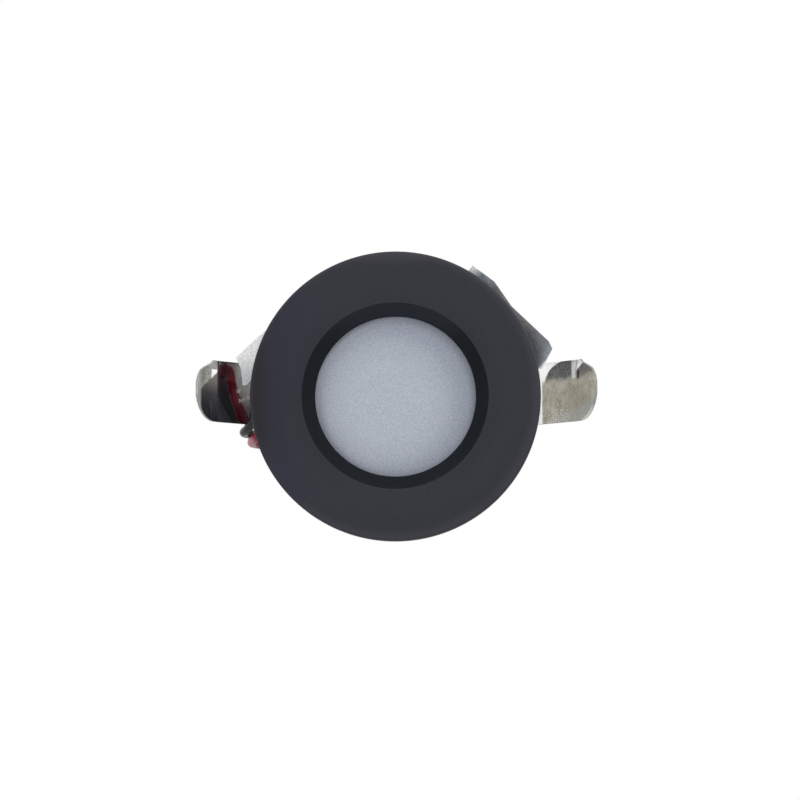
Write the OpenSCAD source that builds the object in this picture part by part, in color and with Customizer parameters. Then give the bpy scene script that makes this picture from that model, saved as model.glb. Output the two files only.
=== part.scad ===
// Small recessed spotlight: black flange, frosted window, finned body, sprung side clips, two free wires.
// Modelled face on: x to the right, y up, z towards the viewer, with z = 0 at the panel's front face.
// upright() then stands the face towards -Y of the part's own frame, with y becoming +Z.

/* [Bezel] */
// Outer diameter of the flange
flange_d = 52; // [46:0.5:58]
// Thickness of the flange
flange_t = 2.0; // [1.5:0.1:2.6]
// Rounding of the flange's front rim
rim_round = 0.6; // [0.3:0.1:1.0]
// Diameter of the recess at the flange's face
recess_d = 33.3; // [32:0.1:35]
// Depth of the recess down to the window's edge
recess_depth = 1.6; // [1.0:0.1:1.9]
// Diameter of the window seen through the recess
window_d = 28.8; // [26:0.1:29.4]
// Thickness of the lip that holds the window from the front
lip_t = 0.8; // [0.6:0.1:1.2]
// Outer diameter of the collar that goes into the cut-out
collar_d = 41; // [40:0.1:41.4]
// Length of the collar behind the flange
collar_len = 7.5; // [7:0.1:8]
// Bore of the collar
bore_d = 32.6; // [31.8:0.1:33.4]

/* [Optics] */
// Thickness of the window's silicone seal
seal_t = 0.5; // [0.3:0.1:0.8]
// Width of the seal ring
seal_w = 1.0; // [0.6:0.1:1.2]
// Thickness of the frosted diffuser
diffuser_t = 1.5; // [1:0.1:2]
// Height of the white light cup
cup_h = 3.0; // [2.4:0.1:3.4]
// Diameter of the cup's rear opening
cup_rear_d = 20.6; // [20:0.1:22]
// Wall of the cup
cup_wall = 1.0; // [0.8:0.1:1.4]

/* [Board] */
// Thickness of the LED board
board_t = 1.0; // [0.8:0.1:1.6]
// Number of LED chips
chip_count = 6; // [4:1:6]
// Radius of the ring of chips
chip_ring_r = 5.4; // [5:0.1:6]
// Chip size along the radius
chip_l = 2.8; // [2:0.1:3]
// Chip size across the radius
chip_w = 3.5; // [2:0.1:3.6]
// Chip height
chip_h = 0.7; // [0.5:0.1:1]
// Thickness of the thermal pad
pad_t = 0.4; // [0.2:0.1:0.8]
// Diameter of the thermal pad
pad_d = 31; // [28:0.5:31.5]

/* [Heat sink] */
// Diameter of the heat sink's base disc
base_d = 40.4; // [40.2:0.1:41]
// Thickness of the base disc
base_t = 2.0; // [1.6:0.1:2.4]
// Diameter of the finned body
body_d = 33.2; // [32.8:0.1:33.6]
// Depth of the body's rear face behind the panel's front face
body_back = 30; // [28:0.5:33]
// Number of slots on each side of the core
slot_count = 3; // [3]
// Width of a slot
fin_gap = 2.0; // [1.8:0.1:2.2]
// Thickness of a fin
fin_t = 1.6; // [1.5:0.1:1.7]
// Half the width of the solid core
core_half = 3.2; // [3:0.1:3.4]
// Solid metal left behind the base disc before the slots start
slot_floor = 2.0; // [1.5:0.1:2.5]

/* [Clips] */
// Distance of a clip's hinge from the lamp's axis
hinge_x = 19.2; // [19:0.1:19.4]
// Depth of the hinge behind the panel's front face
hinge_back = 26.0; // [25.5:0.1:26.5]
// Height of a clip's middle above the lamp's axis
clip_y = 1.95; // [1:0.05:2]
// Width of a clip
clip_w = 11.25; // [10:0.05:11.5]
// Thickness of the clip sheet
clip_t = 0.5; // [0.4:0.1:0.8]
// Slope of the clip's inner leaf, from the panel
leaf_angle = 46.5; // [44:0.5:49]
// Length of the inner leaf from hinge to fold
leaf_len = 20.9; // [19:0.1:21.5]
// Slope of the foot past the fold, from the panel
foot_angle = 62; // [58:1:66]
// Length of the foot
foot_len = 7.2; // [6.5:0.1:9]
// Radius of the fold
fold_r = 1.2; // [0.8:0.1:2]
// Radius of the hinge pin
pin_r = 0.95; // [0.7:0.05:1]
// Wall of the rolled eye around the pin
eye_wall = 0.5; // [0.4:0.1:0.8]
// Sheet thickness of the clip bracket
bracket_t = 0.8; // [0.6:0.1:1]
// Length of the cut beside the eye that makes room for the coil spring
notch_len = 4.0; // [3.5:0.1:5]
// Wire thickness of the torsion spring
spring_wire = 0.7; // [0.5:0.05:0.75]

/* [Leaf spring] */
// Sheet thickness of the four-leaf retaining spring
sheet_t = 0.5; // [0.3:0.1:0.6]
// Diameter of its hub
hub_d = 18; // [14:0.5:20]
// Gap between the finned body and the bend at the root of each arm
arm_body_gap = 0.9; // [0.6:0.1:1.2]
// Gap between the base disc's edge and the bend at the foot pad
arm_base_gap = 0.6; // [0.5:0.1:0.8]
// Depth of the foot pads behind the panel's front face
pad_back = 8.3; // [8.1:0.1:9]
// Forward tilt of the upper right pad, which is bent a little
pad_tilt = 8; // [0:1:10]
// Radius of the bends
sheet_bend_r = 1.0; // [0.6:0.1:1.5]
// Half the width of an arm
arm_half = 4.5; // [3.5:0.1:4.6]

/* [Screws and wires] */
// Shank radius of the small screws
screw_r = 0.9; // [0.8:0.1:1]
// Head radius of the small screws
screw_head_r = 1.6; // [1.5:0.1:1.7]
// Head height of the small screws
screw_head_h = 1.2; // [1:0.1:1.4]
// Length of the body screws' thread in the collar
screw_bite = 4; // [3:0.5:5]
// Shank radius of the hub screw
hub_screw_r = 1.5; // [1.25:0.05:1.6]
// Head radius of the hub screw
hub_head_r = 2.8; // [2.5:0.1:3]
// Radius of the wires' insulation
wire_r = 0.85; // [0.8:0.05:0.9]
// Height of the middle of the wire exit
exit_y = -5.2; // [-5.4:0.1:-4.8]
// Depth of the wire exit behind the panel's front face
exit_back = 13.4; // [13:0.1:14]
// Radius of the grommet's hole
grommet_r = 2.5; // [2.3:0.1:2.7]

/* [Hidden] */
$fn = 96;

// Clearances and small allowances
inner_gap = 0.1;
thread_gap = 0.02;
hinge_gap = 0.05;
hole_gap = 0.1;
stop_gap = 0.25;
over = 1;
far = 60;

// Cross in a screw's head: its width, and its reach and depth as shares of the head's
cross_w = 0.4;
cross_reach = 0.6;
cross_depth = 0.6;

// Depths of the stack inside the collar, from the front
lip_back = flange_t - recess_depth - lip_t;
seal_back = lip_back - seal_t;
diffuser_back = seal_back - diffuser_t;
cup_back = diffuser_back - cup_h;
board_back = cup_back - board_t;
pad_rear = board_back - pad_t;
base_back = -collar_len - base_t;
slot_front = base_back - slot_floor;
inner_d = bore_d - 2 * inner_gap;

// Heat sink
flat_x = core_half + slot_count * (fin_gap + fin_t);
body_screw_at = (bore_d + base_d) / 4;
screw_spare = 1;
duct_w = 7;
duct_len = 7.6;

// Board
lead_x = -6.6;
lead_pitch = 2.0;
lead_hole_r = wire_r + inner_gap;
solder_r = 0.9;
solder_h = 0.6;
solder_dome_r = 1.1;
cup_flare = 1.3;
board_screw_at = 8.3;
board_screw_turn = 65;
board_screw_len = 4.2;
chip_turn = 30;

// Clip in its own plane, x outwards and z forwards, about the hinge
eye_bore_r = pin_r + hinge_gap;
eye_r = eye_bore_r + eye_wall;
leaf_dir = [cos(leaf_angle), sin(leaf_angle)];
leaf_normal = [-sin(leaf_angle), cos(leaf_angle)];
foot_dir = [cos(foot_angle), sin(foot_angle)];
leaf_root = eye_r * leaf_normal;
clip_fold = leaf_root + leaf_len * leaf_dir;
clip_end = clip_fold + foot_len * foot_dir;
clip_low = clip_y - clip_w / 2;
clip_high = clip_y + clip_w / 2;

// Clip bracket
ear_gap = 0.4;
ear_low = clip_low - ear_gap - bracket_t;
ear_high = clip_high + ear_gap + bracket_t;
ear_r = 2.0;
bracket_rise = 4.4;
bracket_step = 0.2;
bracket_front = -hinge_back + bracket_rise;
bracket_back = -body_back + bracket_step;
lip_edge = bracket_front - bracket_t;
lip_reach = ((lip_edge + hinge_back) * cos(leaf_angle) - eye_r - stop_gap) / sin(leaf_angle);
pin_head_r = 1.3;
pin_head_h = 0.5;
rivet_r = 0.8;
rivet_head_r = 1.3;
rivet_head_h = 0.7;
rivet_dome_r = 1.6;
rivet_at = 3.4;
rivet_rise = 1.6;
rivet_z = -hinge_back + rivet_rise;

// Torsion spring about the hinge
coil_gap = 0.15;
turn_gap = 0.03;
side_gap = 0.05;
leg_hook = 0.2;
coil_turns = 5;
coil_r = pin_r + coil_gap + spring_wire / 2;
coil_pitch = spring_wire + turn_gap;
coil_low = clip_low + spring_wire / 2 + side_gap;
long_leg = 8;
leg_lift = eye_bore_r - spring_wire / 2 - side_gap;
leg_turn = atan((coil_r + leg_lift) / long_leg);
coil_start = 270;
coil_end = 360 * coil_turns + leaf_angle + leg_turn - 90;
coil_step = 30;
coil_high = coil_low + coil_pitch * (coil_end - coil_start) / 360;
notch_high = coil_high + spring_wire / 2 + hole_gap;
short_leg_end = flat_x + leg_hook;

// Leaf spring: where each arm starts and ends, and its pad's outline, outwards from the arm and across it
arm_root = body_d / 2 + arm_body_gap;
arm_end = base_d / 2 + arm_base_gap;
pad_upper_right = [[0.7, -13.2], [1.9, -14.6], [5.8, -13.4], [6.3, -12], [6.1, -2.7],
    [6.7, 0.5], [7.1, 2.75], [6.4, 7.65], [0.7, 7]];
pad_upper_left = [[0.7, -15], [0.65, -17.3], [1.15, -17.8], [3.65, -15.85], [5.65, -15.1], [5.4, -8.8],
    [4.4, 6], [0.7, 7]];
pad_lower = [[0.7, -6.5], [2, -6], [2, 6], [0.7, 6.5]];
flare = 0.2;
hub_back = -body_back - sheet_t;
washer_t = 0.5;
washer_r = 3.4;
hub_head_h = 2.0;
hub_screw_len = 9;

// Wires: the points that they follow, from the grommet to the stripped end
wire_sides = 8;
grommet_shaft = 3.6;
grommet_taper = 0.5;
grommet_lip = 1.2;
grommet_lip_r = 3.3;
lead_bend = 2.2;
wire_start = -flat_x - grommet_lip;
exit_low = exit_y - lead_pitch / 2;
exit_high = exit_y + lead_pitch / 2;
red_route = [[wire_start, exit_high, -exit_back], [-17, -4.2, -13.4], [-18.7, -3.7, -13.1],
    [-19.5, -2.4, -12.6], [-19.2, -0.9, -12], [-18.1, 0.4, -11.5], [-16.8, 1.6, -11],
    [-15.8, 2.9, -10.7], [-15.5, 4.4, -10.5], [-16, 5.7, -10.4], [-17.1, 6.9, -10.4], [-18.4, 7.5, -10.4],
    [-19.7, 7.4, -10.9], [-20.6, 6.5, -11.3], [-20.8, 5, -11.6], [-20.8, 3.1, -12],
    [-21.5, 1.1, -12.7], [-22.1, -0.4, -13.3], [-22.9, -1.9, -13.9], [-24, -3.4, -14.4],
    [-25.3, -4.9, -15], [-26.5, -6.1, -15.8], [-27.1, -6.8, -17.2], [-26.8, -6.9, -18.8],
    [-25.6, -7, -20.4], [-24.2, -7.5, -22], [-22.8, -8.4, -23.8], [-21.4, -9.4, -25.7],
    [-20.1, -10.1, -27.7], [-18.7, -10.6, -29.6], [-16.9, -10.9, -31.3], [-14.6, -11, -32.6],
    [-11.6, -11, -33.3], [-8, -11, -33.4], [-4.4, -11, -33.4], [-0.8, -11.1, -33.3],
    [2.2, -11.8, -33.1], [4.6, -13, -32.9], [6, -14.8, -32.7], [6.8, -16.8, -32.6]];
black_route = [[wire_start, exit_low, -exit_back], [-17.2, -6.2, -13.4], [-18.9, -5.9, -12.9],
    [-20.2, -4.9, -12], [-20.9, -3.5, -11.3], [-21, -1.9, -10.8], [-20.9, -0.3, -10.4],
    [-21, 1.3, -10.1], [-21.5, 2.8, -9.9], [-22.4, 3.9, -9.8], [-23.6, 4.4, -9.8], [-24.9, 4.1, -9.8],
    [-25.8, 3.1, -9.8], [-26.1, 1.7, -10], [-26, 0.2, -10.3], [-26, -1.3, -10.9], [-26.3, -2.7, -11.7],
    [-26.9, -3.8, -12.8], [-27.7, -4.6, -14.1], [-28.4, -5, -15.7], [-28.4, -5.1, -17.5],
    [-27.6, -5.1, -19.2], [-26.3, -5.3, -20.9], [-24.9, -5.8, -22.6], [-23.3, -6.6, -24.4],
    [-21.7, -7.3, -26.3], [-19.9, -7.9, -28.3], [-17.8, -8.2, -30.2], [-15.2, -8.2, -31.9],
    [-12, -8.2, -32.8], [-8.4, -8.2, -32.9], [-4.8, -8.2, -32.9], [-1.2, -8.2, -32.9],
    [2.4, -8.3, -32.9], [5.6, -9, -32.8], [8.2, -10.2, -32.7], [9.9, -12.1, -32.6],
    [10.9, -14.2, -32.5]];
tip_r = 0.4;
tip_len = 5;

function unit(v) = v / norm(v);
function reversed(list) = [for (i = [len(list) - 1:-1:0]) list[i]];

// Left-hand normal of the line from a to b
function side_normal(a, b) = let(d = unit(b - a)) [-d.y, d.x];

// Path moved sideways by t, with mitred corners
function shifted(path, t) = let(last = len(path) - 1) [for (i = [0:last])
    let(n1 = i == 0 ? side_normal(path[0], path[1]) : side_normal(path[i - 1], path[i]))
    let(n2 = i == last ? side_normal(path[last - 1], path[last]) : side_normal(path[i], path[i + 1]))
    path[i] + t * (n1 + n2) / (1 + n1 * n2)];

// Closed outline of a sheet whose one face follows the path
function sheet_outline(path, t) = concat(path, reversed(shifted(path, t)));

// Points round the corner b between a and c
function corner(a, b, c, r, steps = 6) =
    let(d1 = unit(a - b), d2 = unit(c - b), half = acos(d1 * d2) / 2)
    let(centre = b + unit(d1 + d2) * r / sin(half))
    let(p1 = b + d1 * r / tan(half) - centre, p2 = b + d2 * r / tan(half) - centre)
    let(a1 = atan2(p1.y, p1.x), turn = atan2(p2.y, p2.x) - a1)
    let(sweep = turn > 180 ? turn - 360 : turn < -180 ? turn + 360 : turn)
    [for (k = [0:steps]) centre + r * [cos(a1 + sweep * k / steps), sin(a1 + sweep * k / steps)]];

// Swept round tube along points
function tangents(p) = let(last = len(p) - 1)
    [for (i = [0:last]) unit(p[min(i + 1, last)] - p[max(i - 1, 0)])];
function carried(t, n, i = 0) = i == len(t) ? [] :
    let(m = unit(n - (n * t[i]) * t[i])) concat([m], carried(t, m, i + 1));
module tube(route, r, sides, first_normal) {
    t = tangents(route);
    n = carried(t, first_normal);
    last = len(route) - 1;
    points = [for (i = [0:last]) for (k = [0:sides - 1]) let(a = 360 * k / sides)
        route[i] + r * (cos(a) * n[i] + sin(a) * cross(t[i], n[i]))];
    walls = [for (i = [0:last - 1]) for (k = [0:sides - 1]) let(k2 = (k + 1) % sides)
        [i * sides + k, (i + 1) * sides + k, (i + 1) * sides + k2, i * sides + k2]];
    ends = [[for (k = [0:sides - 1]) k], [for (k = [sides - 1:-1:0]) last * sides + k]];
    polyhedron(points, concat(walls, ends));
}

// Stands the lamp's face towards -Y
module upright() {
    rotate([90, 0, 0]) children();
}

// A flat outline in x and z, made solid from y = low to y = low + width
module across(outline, low, width) {
    translate([0, low + width, 0]) rotate([90, 0, 0]) linear_extrude(width) polygon(outline);
}

// Round bar along y
module cross_bar(r, low, width) {
    translate([0, low + width, 0]) rotate([90, 0, 0]) cylinder(r = r, h = width);
}

module at_hinge() {
    translate([hinge_x, 0, -hinge_back]) children();
}

module screw(shank_r, length, head_r, head_h) {
    translate([0, 0, -length]) cylinder(r = shank_r, h = length);
    difference() {
        cylinder(r = head_r, h = head_h);
        for (turn = [0, 90]) {
            rotate([0, 0, turn]) translate([-cross_reach * head_r, -cross_w / 2, head_h * (1 - cross_depth)])
                cube([2 * cross_reach * head_r, cross_w, head_h]);
        }
    }
}

module bezel() {
    color("#2b2b2e") upright() difference() {
        union() {
            rotate_extrude() {
                square([flange_d / 2, flange_t - rim_round]);
                square([flange_d / 2 - rim_round, flange_t]);
                translate([flange_d / 2 - rim_round, flange_t - rim_round]) circle(r = rim_round);
            }
            translate([0, 0, -collar_len]) cylinder(d = collar_d, h = collar_len + over);
        }
        translate([0, 0, -collar_len - over]) cylinder(d = bore_d, h = collar_len + over + lip_back);
        translate([0, 0, -over]) cylinder(d = window_d, h = flange_t + 2 * over);
        translate([0, 0, flange_t - recess_depth])
            cylinder(d1 = window_d, d2 = recess_d, h = recess_depth);
        translate([0, 0, flange_t]) cylinder(d = recess_d, h = over);
        for (side = [-1, 1]) {
            translate([0, side * body_screw_at, -collar_len - over])
                cylinder(r = screw_r + thread_gap, h = over + screw_bite + screw_spare);
        }
    }
}

module diffuser_seal() {
    color("#d8d8d8") upright() translate([0, 0, seal_back]) difference() {
        cylinder(d = inner_d, h = seal_t);
        translate([0, 0, -over]) cylinder(d = inner_d - 2 * seal_w, h = seal_t + 2 * over);
    }
}

module diffuser() {
    color("#aeb6c0") upright() translate([0, 0, diffuser_back]) cylinder(d = inner_d, h = diffuser_t);
}

module light_cup() {
    rim_r = inner_d / 2;
    rear_r = cup_rear_d / 2;
    color("white") upright() rotate_extrude() polygon([[rim_r - cup_wall, diffuser_back],
        [rim_r, diffuser_back], [rim_r, diffuser_back - cup_wall], [rear_r + cup_flare * cup_wall, cup_back],
        [rear_r, cup_back]]);
}

module board_holes(depth, r) {
    for (side = [-1, 1]) {
        translate([lead_x, exit_y + side * lead_pitch / 2, depth]) cylinder(r = r, h = far);
    }
}

module board_screw_places() {
    for (turn = [0, 180]) {
        rotate([0, 0, board_screw_turn + turn]) translate([board_screw_at, 0, cup_back]) children();
    }
}

module led_board() {
    color("#f2f2ee") upright() difference() {
        translate([0, 0, board_back]) cylinder(d = inner_d, h = board_t);
        translate([0, 0, -far]) board_holes(0, lead_hole_r);
        board_screw_places() translate([0, 0, -board_t - over])
            cylinder(r = screw_r + hole_gap, h = board_t + 2 * over);
    }
}

module led_chips() {
    color("#e8d36a") upright() for (i = [0:chip_count - 1]) {
        rotate([0, 0, chip_turn + i * 360 / chip_count]) translate([chip_ring_r, 0, cup_back])
            translate([-chip_l / 2, -chip_w / 2, 0]) cube([chip_l, chip_w, chip_h]);
    }
}

module solder_joints() {
    color("silver") upright() for (side = [-1, 1]) {
        translate([lead_x, exit_y + side * lead_pitch / 2, cup_back]) intersection() {
            cylinder(r = solder_r, h = solder_h);
            translate([0, 0, solder_h - solder_dome_r]) sphere(r = solder_dome_r);
        }
    }
}

module board_screws() {
    color("#b8b8b8") upright() board_screw_places()
        screw(screw_r, board_screw_len, screw_head_r, screw_head_h);
}

module thermal_pad() {
    color("#8a9096") upright() difference() {
        translate([0, 0, pad_rear]) cylinder(d = pad_d, h = pad_t);
        translate([lead_x, exit_y, pad_rear - over]) cylinder(r = grommet_r, h = pad_t + 2 * over);
        board_screw_places() translate([0, 0, -board_t - pad_t - over])
            cylinder(r = screw_r + hole_gap, h = pad_t + 2 * over);
    }
}

module wire_duct() {
    translate([lead_x, exit_y, -exit_back]) cylinder(r = grommet_r, h = far);
    translate([lead_x, exit_y, -exit_back]) sphere(r = grommet_r);
    translate([lead_x, exit_y, -exit_back]) rotate([0, -90, 0]) cylinder(r = grommet_r, h = far);
}

module heat_sink() {
    color("#a3a29c") upright() difference() {
        union() {
            translate([0, 0, base_back]) cylinder(d = base_d, h = base_t);
            translate([0, 0, base_back]) cylinder(d = inner_d, h = pad_rear - base_back);
            intersection() {
                translate([0, 0, -body_back]) cylinder(d = body_d, h = body_back + base_back);
                translate([-flat_x, -far, -far]) cube([2 * flat_x, 2 * far, far]);
                difference() {
                    translate([-far, -far, -body_back]) cube([2 * far, 2 * far, body_back]);
                    for (side = [-1, 1], i = [0:slot_count - 1]) {
                        slot_x = core_half + fin_gap / 2 + i * (fin_gap + fin_t);
                        translate([side * slot_x, 0, slot_front - far / 2])
                            cube([fin_gap, 2 * far, far], center = true);
                    }
                }
            }
            translate([-flat_x, exit_y - duct_w / 2, base_back - duct_len])
                cube([flat_x + lead_x + grommet_r + over, duct_w, duct_len + over]);
        }
        wire_duct();
        board_screw_places() translate([0, 0, -board_screw_len - hole_gap])
            cylinder(r = screw_r + thread_gap, h = far);
        for (side = [-1, 1]) {
            translate([0, side * body_screw_at, base_back - over])
                cylinder(r = screw_r + hole_gap, h = base_t + 2 * over);
            translate([0, side * body_screw_at, base_back - far])
                cylinder(r = screw_head_r + hole_gap, h = far);
        }
        translate([0, 0, -body_back - over]) cylinder(r = hub_screw_r + thread_gap, h = hub_screw_len + over);
        for (side = [-1, 1], step = [-1, 1]) {
            translate([side * (flat_x - fin_t - over), clip_y + step * rivet_at, rivet_z])
                rotate([0, side * 90, 0]) cylinder(r = rivet_r + thread_gap, h = fin_t + 2 * over);
        }
    }
}

module body_screws() {
    color("#b8b8b8") upright() for (side = [-1, 1]) {
        translate([0, side * body_screw_at, base_back]) mirror([0, 0, 1])
            screw(screw_r, base_t + screw_bite, screw_head_r, screw_head_h);
    }
}

// Bracket on the right: base plate on the heat sink's flat, two ears for the pin, a lip that stops the clip
module clip_bracket() {
    ear_out = hinge_x - flat_x;
    color("#b4b2aa") difference() {
        union() {
            translate([flat_x, ear_low, bracket_back])
                cube([bracket_t, ear_high - ear_low, bracket_front - bracket_back]);
            translate([flat_x, clip_low, lip_edge])
                cube([hinge_x + lip_reach - flat_x, clip_w, bracket_t]);
            for (low = [ear_low, ear_high - bracket_t]) {
                translate([flat_x, low, -hinge_back - ear_r]) cube([ear_out, bracket_t, 2 * ear_r]);
                at_hinge() cross_bar(ear_r, low, bracket_t);
            }
        }
        at_hinge() cross_bar(pin_r + thread_gap, -far, 2 * far);
        for (step = [-1, 1]) {
            translate([flat_x - over, clip_y + step * rivet_at, rivet_z])
                rotate([0, 90, 0]) cylinder(r = rivet_r + thread_gap, h = bracket_t + 2 * over);
        }
        translate([flat_x - over, coil_low, -hinge_back - coil_r])
            rotate([0, 90, 0]) cylinder(r = spring_wire / 2 + hole_gap, h = bracket_t + 2 * over);
    }
}

module clip_bracket_right() {
    upright() clip_bracket();
}

module clip_bracket_left() {
    upright() mirror([1, 0, 0]) clip_bracket();
}

module rivet() {
    intersection() {
        cylinder(r = rivet_head_r, h = rivet_head_h);
        translate([0, 0, rivet_head_h - rivet_dome_r]) sphere(r = rivet_dome_r);
    }
    translate([0, 0, -bracket_t - fin_t]) cylinder(r = rivet_r, h = bracket_t + fin_t);
}

module bracket_rivets() {
    color("#c8c8c8") upright() for (side = [-1, 1], step = [-1, 1]) {
        translate([side * (flat_x + bracket_t), clip_y + step * rivet_at, rivet_z])
            rotate([0, side * 90, 0]) rivet();
    }
}

module clip_pin() {
    color("#c0c0c0") at_hinge() {
        cross_bar(pin_r, ear_low - pin_head_h, ear_high - ear_low + 2 * pin_head_h);
        cross_bar(pin_head_r, ear_low - pin_head_h, pin_head_h);
        cross_bar(pin_head_r, ear_high, pin_head_h);
    }
}

module clip_pin_right() {
    upright() clip_pin();
}

module clip_pin_left() {
    upright() mirror([1, 0, 0]) clip_pin();
}

// Clip on the right: rolled eye, inner leaf, and a foot with a round end
module clip() {
    fold = corner(leaf_root, clip_fold, clip_end, fold_r);
    end_r = clip_w / 2;
    color("#a9a79c") at_hinge() difference() {
        intersection() {
            union() {
                across(sheet_outline(concat([leaf_root], fold, [clip_end]), -clip_t), clip_low, clip_w);
                cross_bar(eye_r, clip_low, clip_w);
            }
            translate([clip_end.x, clip_y, clip_end.y]) rotate([0, -foot_angle, 0]) union() {
                translate([-end_r - far, -far, -far]) cube([far, 2 * far, 2 * far]);
                translate([-end_r, 0, -far]) cylinder(r = end_r, h = 2 * far);
            }
        }
        cross_bar(eye_bore_r, -far, 2 * far);
        rotate([0, -leaf_angle, 0]) translate([-2 * eye_r, clip_low - over, -2 * eye_r])
            cube([2 * eye_r + notch_len, notch_high - clip_low + over, 4 * eye_r]);
    }
}

module clip_right() {
    upright() clip();
}

module clip_left() {
    upright() mirror([1, 0, 0]) clip();
}

// Torsion spring on the right: short leg hooked in the bracket, coil round the pin, long leg behind the leaf
module torsion_spring() {
    leg_end = long_leg * leaf_dir + leg_lift * leaf_normal;
    coil = [for (a = [coil_start:coil_step:coil_end])
        [coil_r * cos(a), coil_low + coil_pitch * (a - coil_start) / 360, coil_r * sin(a)]];
    last = coil[len(coil) - 1];
    route = concat([[short_leg_end - hinge_x, coil_low, -coil_r]], coil, [[leg_end.x, last.y, leg_end.y]]);
    color("#bdbdbd") at_hinge() tube(route, spring_wire / 2, wire_sides, [0, 1, 0]);
}

module torsion_spring_right() {
    upright() torsion_spring();
}

module torsion_spring_left() {
    upright() mirror([1, 0, 0]) torsion_spring();
}

// One leaf in its own frame: hub strip, arm towards the front, foot pad
module leaf(pad, tilt = 0) {
    root = [arm_root, -body_back];
    foot = [arm_end, -pad_back];
    pad_end = foot + far / 2 * [cos(tilt), sin(tilt)];
    side = concat([[0, -body_back]], corner([0, -body_back], root, foot, sheet_bend_r),
        corner(root, foot, pad_end, sheet_bend_r), [pad_end]);
    flare_start = arm_end + flare;
    outline = concat([[0, arm_half], [0, -arm_half], [flare_start, -arm_half]],
        [for (point = pad) [arm_end + point.x, point.y]], [[flare_start, arm_half]]);
    intersection() {
        across(sheet_outline(side, -sheet_t), -far / 2, far);
        translate([0, 0, -far]) linear_extrude(far) polygon(outline);
    }
}

module leaf_spring() {
    color("#cfcfcc") upright() difference() {
        union() {
            translate([0, 0, hub_back]) cylinder(d = hub_d, h = sheet_t);
            rotate([0, 0, 45]) leaf(pad_upper_right, pad_tilt);
            mirror([1, 0, 0]) rotate([0, 0, 45]) leaf(pad_upper_left);
            rotate([0, 0, -45]) leaf(pad_lower);
            mirror([1, 0, 0]) rotate([0, 0, -45]) leaf(pad_lower);
        }
        translate([0, 0, hub_back - over]) cylinder(r = hub_screw_r + hole_gap, h = sheet_t + 2 * over);
    }
}

module spring_washer() {
    color("#c4c4c4") upright() translate([0, 0, hub_back - washer_t]) difference() {
        cylinder(r = washer_r, h = washer_t);
        translate([0, 0, -over]) cylinder(r = hub_screw_r + hole_gap, h = washer_t + 2 * over);
    }
}

module spring_screw() {
    color("#b0b0b0") upright() translate([0, 0, hub_back - washer_t]) mirror([0, 0, 1])
        screw(hub_screw_r, washer_t + sheet_t + hub_screw_len - over, hub_head_r, hub_head_h);
}

module grommet() {
    color("#1c1c1c") upright() translate([-flat_x, exit_y, -exit_back]) rotate([0, -90, 0]) difference() {
        union() {
            translate([0, 0, -grommet_shaft]) cylinder(r = grommet_r - thread_gap, h = grommet_shaft);
            cylinder(r1 = grommet_lip_r, r2 = grommet_lip_r - grommet_taper, h = grommet_lip);
        }
        for (side = [-1, 1]) {
            translate([0, side * lead_pitch / 2, -grommet_shaft - over])
                cylinder(r = wire_r + thread_gap, h = grommet_shaft + grommet_lip + 2 * over);
        }
    }
}

// Lead inside the body, from its solder joint through the duct to the grommet's outer face
module inner_lead(side) {
    translate([lead_x, exit_y + side * lead_pitch / 2, 0]) {
        translate([0, 0, -exit_back + lead_bend]) cylinder(r = wire_r, h = cup_back + exit_back - lead_bend);
        translate([-lead_bend, 0, -exit_back + lead_bend]) rotate([90, 0, 0])
            rotate_extrude(angle = -90) translate([lead_bend, 0]) circle(r = wire_r);
        translate([-lead_bend, 0, -exit_back]) rotate([0, -90, 0])
            cylinder(r = wire_r, h = lead_x - lead_bend - wire_start);
    }
}

module inner_lead_red() {
    color("#a01c22") upright() inner_lead(1);
}

module inner_lead_black() {
    color("#1a1a1a") upright() inner_lead(-1);
}

module wire_red() {
    color("#a01c22") upright() tube(red_route, wire_r, wire_sides, [0, 0, 1]);
}

module wire_black() {
    color("#1a1a1a") upright() tube(black_route, wire_r, wire_sides, [0, 0, 1]);
}

// Stripped and tinned end of a wire, carried on in the wire's last direction
module wire_tip(route) {
    last = len(route) - 1;
    way = unit(route[last] - route[last - 1]);
    translate(route[last]) rotate([0, acos(way.z), atan2(way.y, way.x)]) cylinder(r = tip_r, h = tip_len);
}

module wire_tip_red() {
    color("#d4d4d4") upright() wire_tip(red_route);
}

module wire_tip_black() {
    color("#d4d4d4") upright() wire_tip(black_route);
}

bezel();
diffuser_seal();
diffuser();
light_cup();
led_board();
led_chips();
solder_joints();
board_screws();
thermal_pad();
heat_sink();
body_screws();
clip_bracket_right();
clip_bracket_left();
bracket_rivets();
clip_pin_right();
clip_pin_left();
clip_right();
clip_left();
torsion_spring_right();
torsion_spring_left();
leaf_spring();
spring_washer();
spring_screw();
grommet();
inner_lead_red();
inner_lead_black();
wire_red();
wire_black();
wire_tip_red();
wire_tip_black();
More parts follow.
